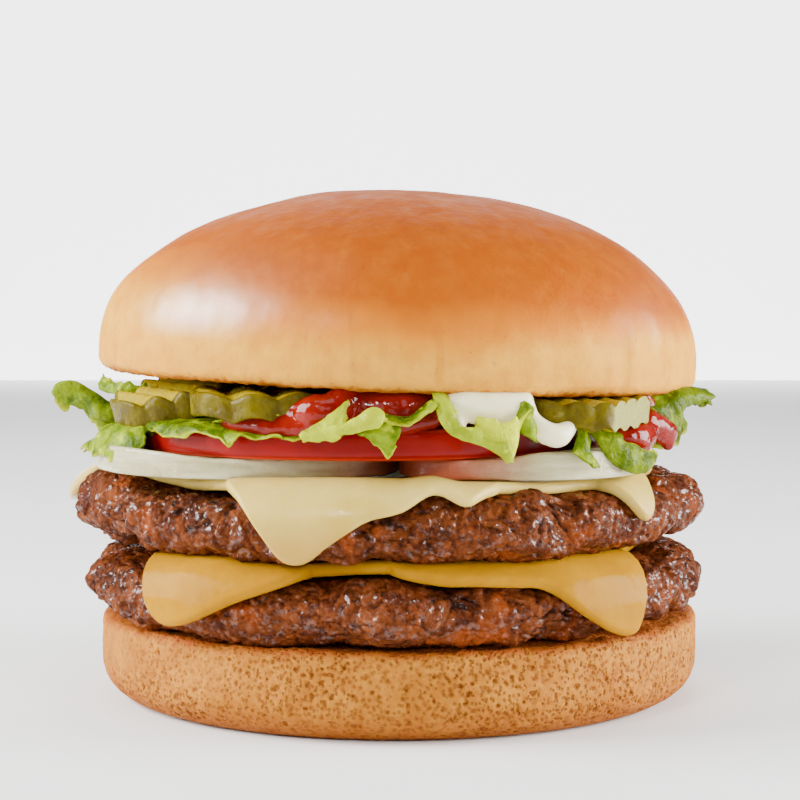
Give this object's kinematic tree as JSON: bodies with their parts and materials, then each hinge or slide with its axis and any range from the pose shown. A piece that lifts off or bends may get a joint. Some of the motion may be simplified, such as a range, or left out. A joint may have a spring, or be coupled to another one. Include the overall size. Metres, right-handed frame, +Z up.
{
  "type": "cheeseburger",
  "caption": "Cheeseburger in a seedless bun, with stacked beef patties, melted cheese slices, onion, tomato, lettuce, crinkle-cut pickle, ketchup and mayonnaise.",
  "frame": {"origin": "centre of the flat foot of the bun heel", "axes": "+Z up through the stack, -Y towards the front that the picture shows, +X to its right"},
  "size_m": [0.1211, 0.1101, 0.0883],
  "materials": {
    "bun_heel": "matte, finely pitted",
    "bun_crown": "satin baked crust",
    "beef": "coarse, moist",
    "yellow_cheese": "satin",
    "white_cheese": "satin",
    "onion": "wet, slightly clear",
    "tomato": "glossy skin",
    "lettuce": "satin, veined",
    "pickle": "wet",
    "ketchup": "glossy",
    "mayonnaise": "glossy"
  },
  "bodies": {
    "root": {"bun_heel": "bun_heel", "bun_crown": "bun_crown", "patty_lower": "beef", "patty_upper": "beef", "cheese_yellow": "yellow_cheese", "cheese_white": "white_cheese", "onion_left": "onion", "onion_right": "onion", "onion_back": "onion", "tomato": "tomato", "lettuce_left_tip": "lettuce", "lettuce_left_flap": "lettuce", "lettuce_left_curl": "lettuce", "lettuce_front_left": "lettuce", "lettuce_front": "lettuce", "lettuce_front_right": "lettuce", "lettuce_right_strip": "lettuce", "lettuce_right_lobe": "lettuce", "lettuce_right_tip": "lettuce", "lettuce_back_right": "lettuce", "lettuce_back": "lettuce", "lettuce_back_left": "lettuce", "pickle_left": "pickle", "pickle_front": "pickle", "pickle_right": "pickle", "pickle_back_left": "pickle", "pickle_back_right": "pickle", "ketchup_front": "ketchup", "ketchup_right": "ketchup", "ketchup_back": "ketchup", "mayonnaise_front": "mayonnaise", "mayonnaise_back": "mayonnaise"}
  },
  "joints": []
}
